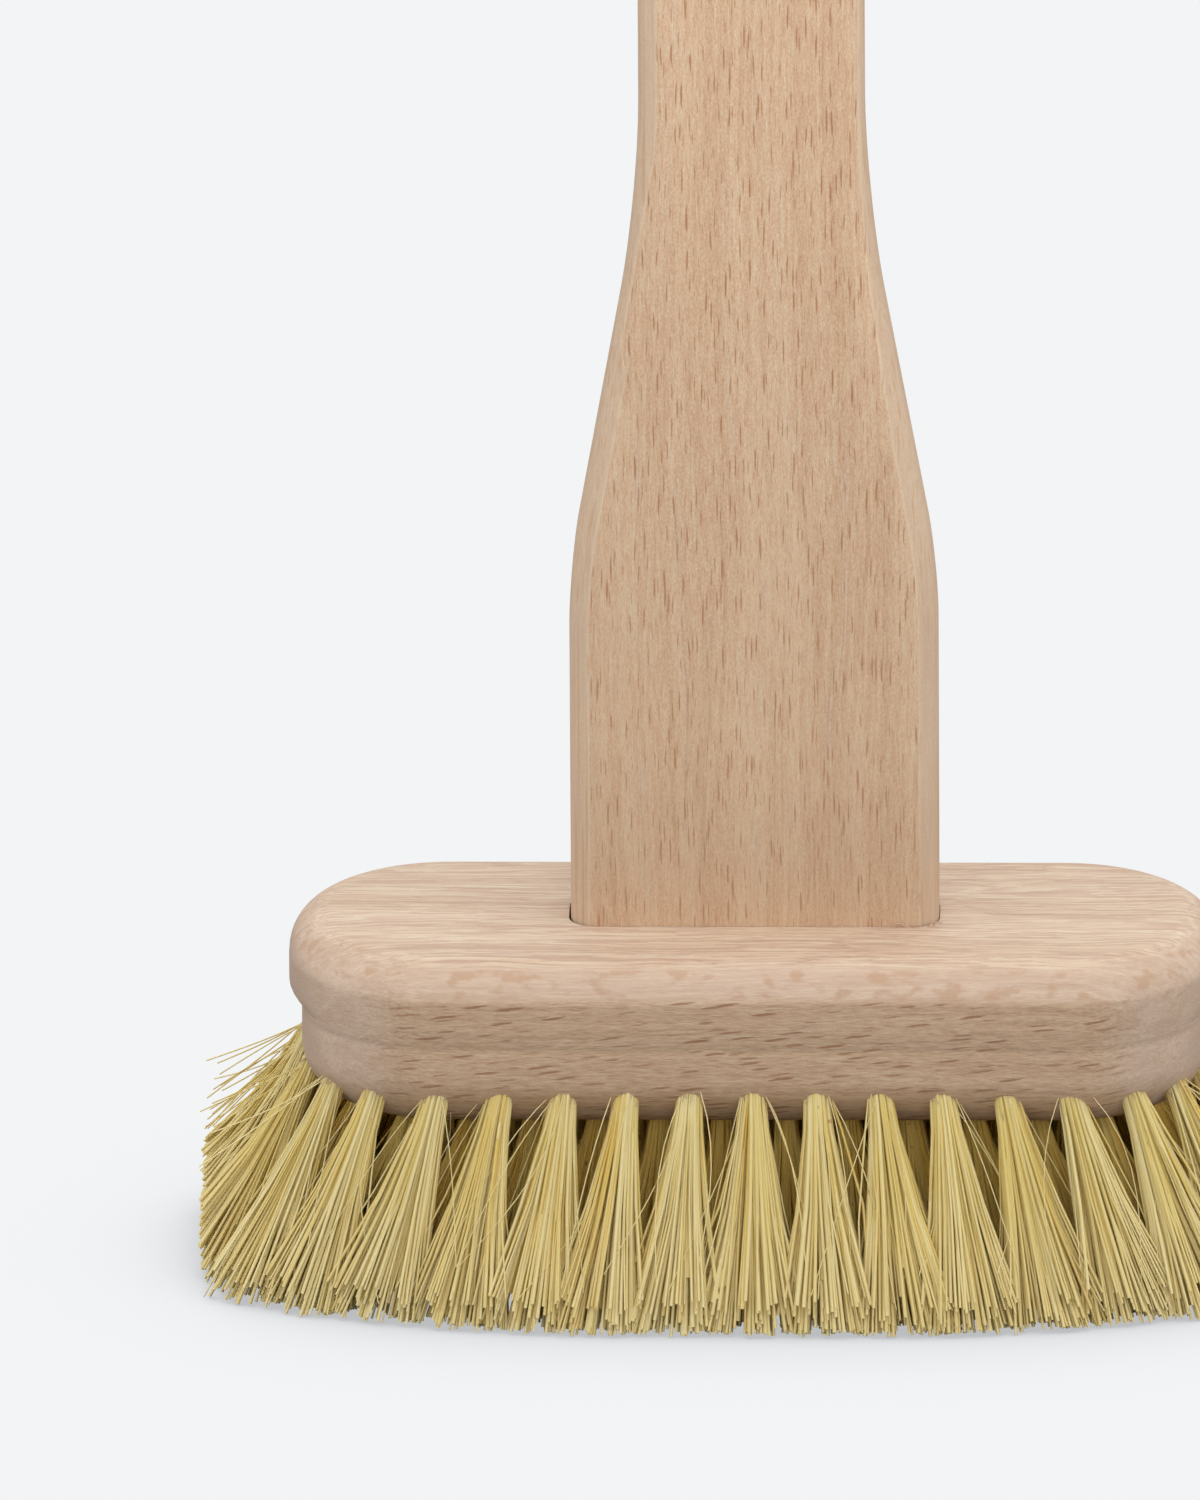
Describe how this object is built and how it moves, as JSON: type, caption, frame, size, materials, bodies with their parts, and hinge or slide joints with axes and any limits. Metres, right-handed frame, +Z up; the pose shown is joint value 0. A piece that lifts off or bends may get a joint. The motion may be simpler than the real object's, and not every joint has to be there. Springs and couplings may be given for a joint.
{
  "type": "bathtub brush",
  "caption": "Long-handled wooden tub brush: a beech board handle standing in a rounded two-layer head with splayed tufts of stiff plant fibre.",
  "frame": {"origin": "centre of the plane that the bristle tips stand on", "axes": "+Z up along the handle, +X along the head, -Y out of the front face"},
  "size_m": [0.18, 0.0868, 0.5],
  "materials": {
    "handle_beech": "bare sanded beech, upright grain",
    "head_beech": "bare sanded beech, grain along the head",
    "plant_fibre": "stiff pale straw-coloured plant fibre",
    "steel": "bright drawn steel"
  },
  "bodies": {
    "root": {"handle": "handle_beech", "cover_plate": "head_beech", "bristle_stock": "head_beech", "outer_tufts": "plant_fibre", "middle_tufts": "plant_fibre", "inner_tufts": "plant_fibre", "outer_draw_wire": "steel", "middle_draw_wire": "steel", "inner_draw_wire": "steel", "handle_screw_left": "steel", "handle_screw_right": "steel"}
  },
  "joints": []
}
